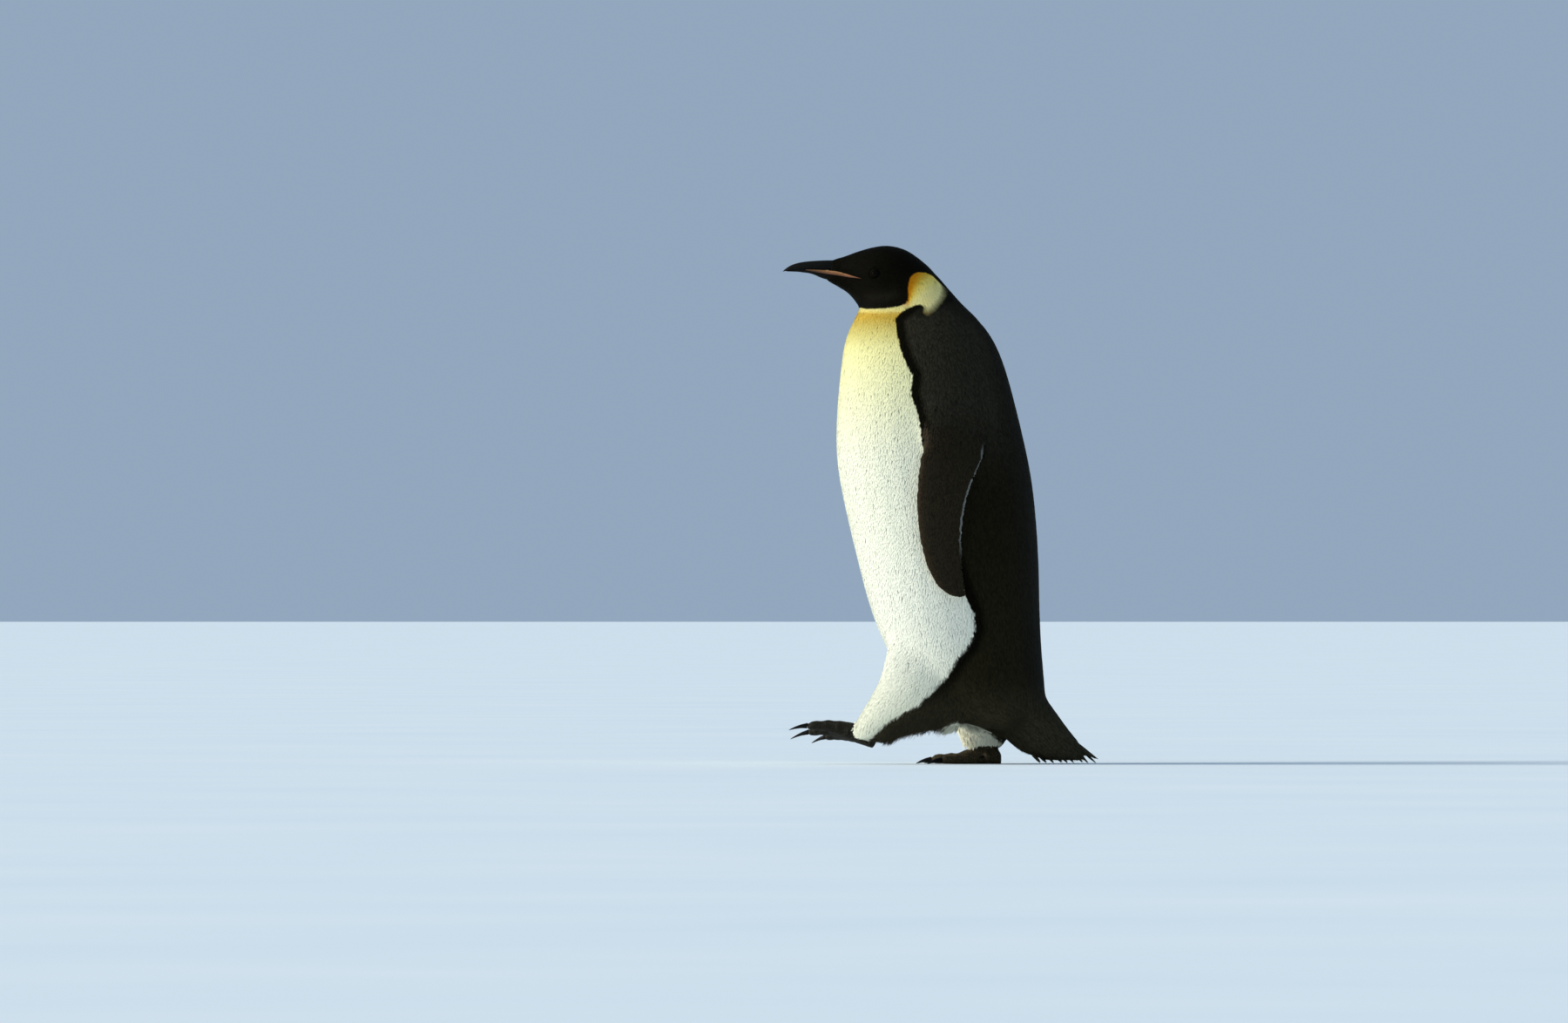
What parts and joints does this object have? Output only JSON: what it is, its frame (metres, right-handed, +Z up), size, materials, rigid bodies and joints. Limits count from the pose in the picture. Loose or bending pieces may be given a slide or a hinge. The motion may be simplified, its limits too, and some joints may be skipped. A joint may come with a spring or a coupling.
{
  "type": "emperor penguin",
  "caption": "Life-size emperor penguin in mid stride, resting on one foot and the end of its tail, flippers at its sides.",
  "frame": {"origin": "on the floor, under the pad of the standing right foot, from which its toes part", "axes": "+Z up, -X the way the bird faces, +Y its right side"},
  "size_m": [0.5553, 0.3811, 0.9222],
  "materials": {
    "plumage_black": "matte short feathers",
    "plumage_dark": "matte short feathers",
    "horn_black": "smooth horn",
    "horn_coral": "smooth horn",
    "foot_black": "scaly skin",
    "eye_brown": "wet and clear"
  },
  "bodies": {
    "root": {"head": "plumage_black", "neck": "plumage_black", "trunk": "plumage_black", "tail": "plumage_dark", "flipper_left": "plumage_dark", "flipper_right": "plumage_dark", "leg_left": "plumage_dark", "leg_right": "plumage_dark", "bill_upper": "horn_black", "bill_lower": "horn_black", "bill_plate_left": "horn_coral", "bill_plate_right": "horn_coral", "eye_left": "eye_brown", "eye_right": "eye_brown", "foot_left": "foot_black", "foot_right": "foot_black", "claw_left_inner": "horn_black", "claw_left_middle": "horn_black", "claw_left_outer": "horn_black", "claw_left_hind": "horn_black", "claw_right_inner": "horn_black", "claw_right_middle": "horn_black", "claw_right_outer": "horn_black", "claw_right_hind": "horn_black"}
  },
  "joints": []
}
